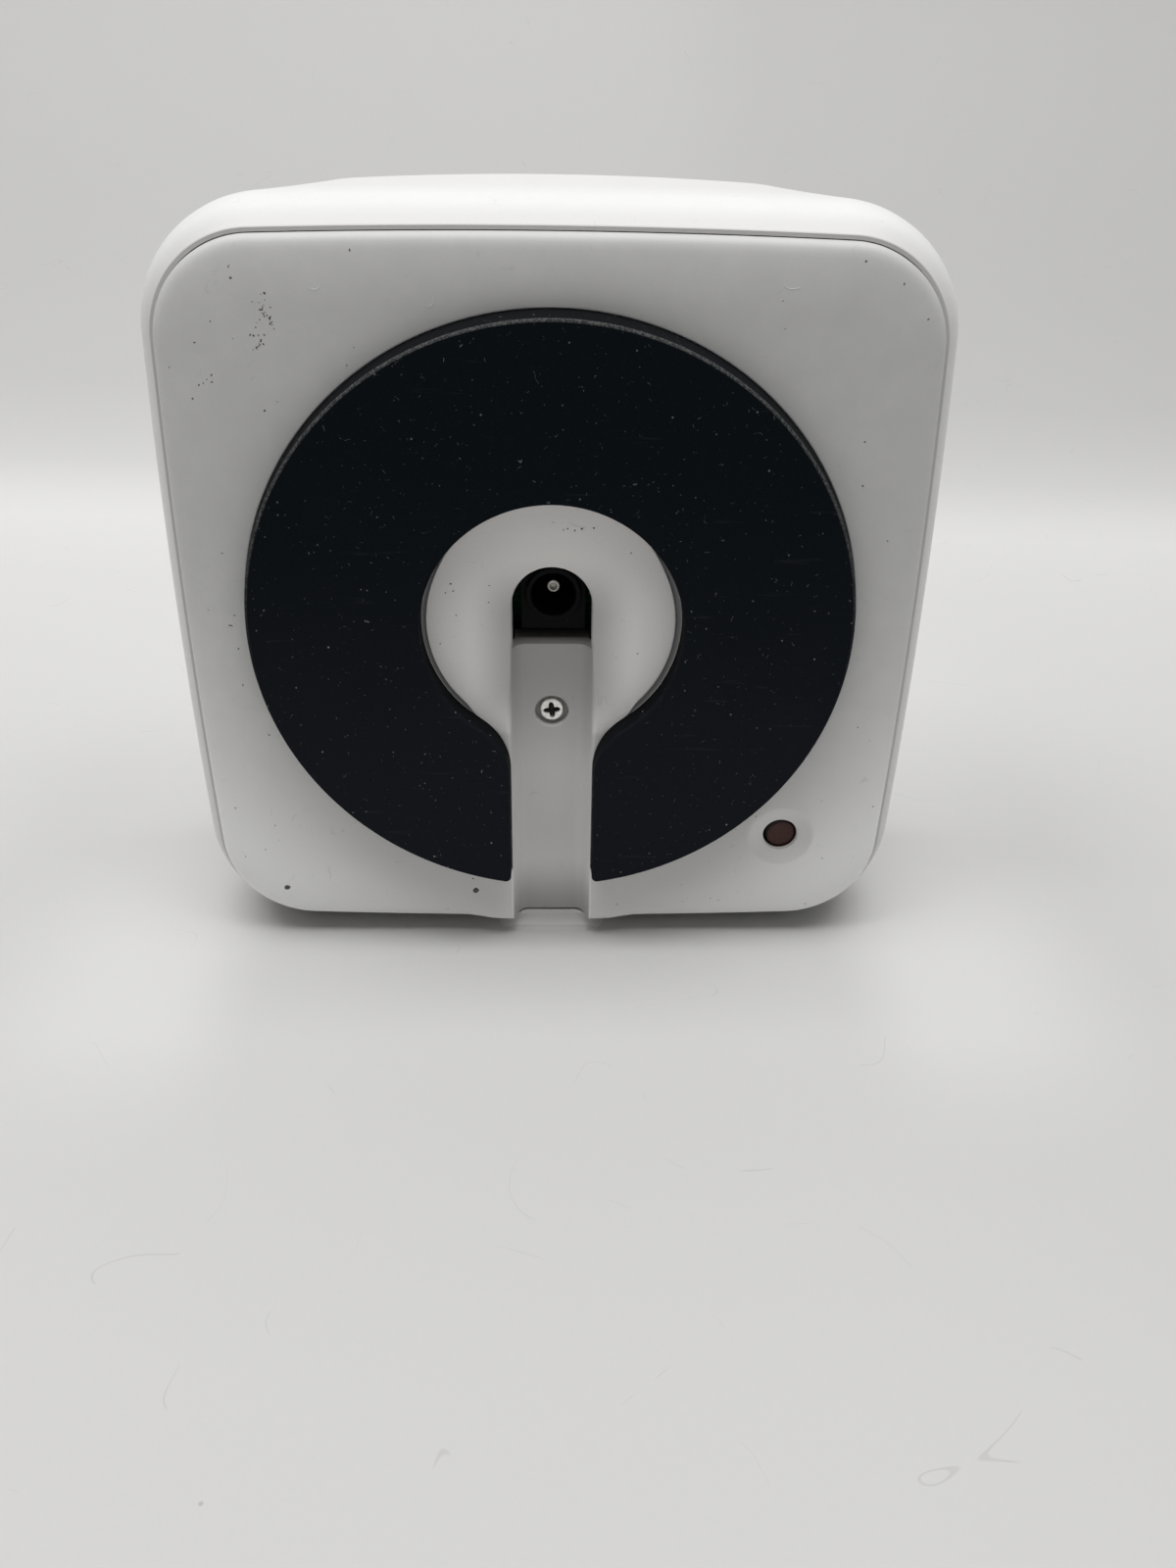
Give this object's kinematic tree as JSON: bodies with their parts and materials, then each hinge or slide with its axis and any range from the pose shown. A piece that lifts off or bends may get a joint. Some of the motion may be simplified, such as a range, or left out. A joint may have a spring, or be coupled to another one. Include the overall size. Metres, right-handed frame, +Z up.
{
  "type": "smart hub",
  "caption": "Rounded square smart hub with a round anti-slip pad, a dished middle with a power jack, a cable channel and a recessed reset button.",
  "frame": {"origin": "under the middle of the part, on the surface it stands on in the picture", "axes": "+Z up as the hub stands on its lower side wall, -Y out of the base with the rubber pad, +X to the right when facing the base"},
  "size_m": [0.1102, 0.041, 0.11],
  "materials": {
    "shell_white": "satin moulded white",
    "cover_white": "fine satin moulded white, lightly scuffed",
    "pad_rubber": "matt, dusty",
    "adhesive_film": "thin double sided film",
    "screw_steel": "bright zinc plated",
    "insert_brass": "plain",
    "jack_black": "moulded black",
    "contact_nickel": "nickel plated",
    "board_green": "solder mask",
    "chip_black": "moulded epoxy",
    "switch_grey": "moulded",
    "button_brown": "moulded dark reddish brown",
    "thermal_grey": "soft gap filler",
    "shield_tin": "tin plated sheet",
    "ferrite_grey": "sintered",
    "can_aluminium": "drawn can",
    "led_lens": "clear moulded",
    "pipe_clear": "clear moulded",
    "ceramic_tan": "ceramic"
  },
  "bodies": {
    "hub": {"outer_shell": "shell_white", "base_cover": "cover_white", "rubber_pad": "pad_rubber", "pad_adhesive": "adhesive_film", "case_screw": "screw_steel", "screw_insert": "insert_brass", "jack_housing": "jack_black", "jack_center_pin": "contact_nickel", "jack_sleeve_spring": "contact_nickel", "main_board": "board_green", "board_screws": "screw_steel", "switch_body": "chip_black", "switch_legs": "contact_nickel", "processor_chip": "chip_black", "thermal_pad": "thermal_grey", "shield_frame": "shield_tin", "shield_lid": "shield_tin", "memory_chip": "chip_black", "power_chip": "chip_black", "power_inductor": "ferrite_grey", "supply_capacitors": "can_aluminium", "clock_crystal": "shield_tin", "wifi_module_board": "board_green", "wifi_module_can": "shield_tin", "mesh_module_board": "board_green", "mesh_module_can": "shield_tin", "wifi_antennas": "contact_nickel", "mesh_antenna": "contact_nickel", "status_led": "led_lens", "light_pipe": "pipe_clear", "small_parts": "ceramic_tan"},
    "button": {"reset_button": "button_brown"},
    "plunger": {"switch_plunger": "switch_grey"}
  },
  "joints": [
    {"name": "button_press", "type": "slide", "parent": "hub", "child": "button", "axis": [0, 1, 0], "range_m": [0, 0.0005], "stiffness_N_per_m": 1500, "springref_m": -0.0003},
    {"name": "plunger_press", "type": "slide", "parent": "hub", "child": "plunger", "axis": [0, 1, 0], "range_m": [0, 0.0005], "stiffness_N_per_m": 200, "springref_m": -0.0001}
  ],
  "couplings": [
    {"joint": "plunger_press", "follows": "button_press", "ratio": 1}
  ]
}
